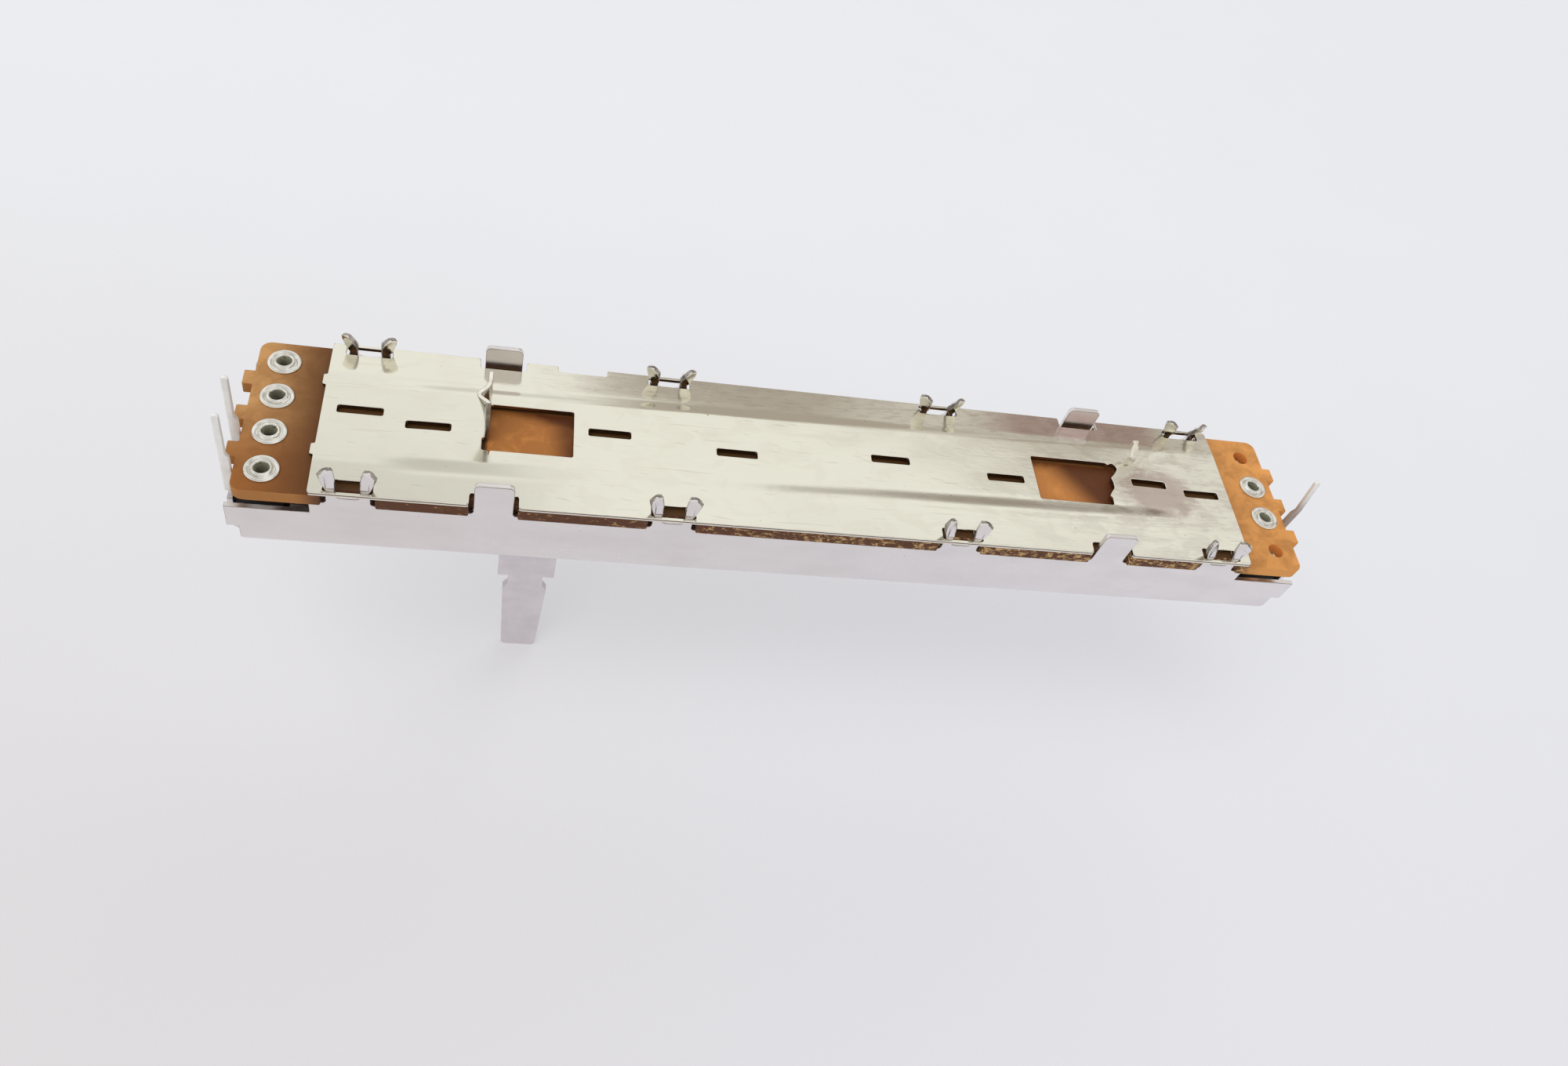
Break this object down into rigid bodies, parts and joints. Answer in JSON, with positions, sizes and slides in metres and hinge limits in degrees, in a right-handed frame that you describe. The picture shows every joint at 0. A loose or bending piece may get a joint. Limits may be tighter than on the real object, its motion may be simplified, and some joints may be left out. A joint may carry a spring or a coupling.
{
  "type": "slide potentiometer",
  "caption": "Slide potentiometer with a long straight travel: folded tinned channel, crimped pressed cover, brown resistor board with pin terminals, and a flat steel lever.",
  "frame": {"origin": "middle of the face that meets the panel, midway between the two panel screws", "axes": "+X along the travel, +Y towards the side wall without terminals, +Z away from the panel, so the lever points along -Z"},
  "size_m": [0.1286, 0.0216, 0.0529],
  "materials": {
    "frame_tin": "bright tinned, faint rolling marks",
    "cover_tin": "mirror-bright tinplate with light scratches",
    "laminate": "brown phenolic laminate, satin",
    "carbon": "matt printed carbon",
    "silver_ink": "matt printed silver",
    "terminal_tin": "tin plated, satin",
    "eyelet_tin": "bright tinned",
    "shaft_steel": "ground",
    "rubber": "matt",
    "acetal": "moulded, satin",
    "lever_steel": "zinc plated, satin",
    "bronze": "spring bronze"
  },
  "bodies": {
    "case": {"frame_channel": "frame_tin", "cover_plate": "cover_tin", "resistor_board": "laminate", "resistive_track": "carbon", "collector_track": "silver_ink", "terminal_left_inner": "terminal_tin", "terminal_left_outer": "terminal_tin", "terminal_right": "terminal_tin", "eyelet_left_1": "eyelet_tin", "eyelet_left_2": "eyelet_tin", "eyelet_left_3": "eyelet_tin", "eyelet_left_4": "eyelet_tin", "eyelet_right_2": "eyelet_tin", "eyelet_right_3": "eyelet_tin", "guide_shaft_near": "shaft_steel", "guide_shaft_far": "shaft_steel", "bumper_near_left": "rubber", "bumper_near_right": "rubber", "bumper_far_left": "rubber", "bumper_far_right": "rubber"},
    "slider": {"carriage": "acetal", "lever": "lever_steel", "wiper_brush": "bronze", "friction_spring_near": "bronze", "friction_spring_far": "bronze"}
  },
  "joints": [
    {"name": "lever_slide", "type": "slide", "parent": "case", "child": "slider", "axis": [1, 0, 0], "range_m": [-0.0182, 0.0818]}
  ]
}
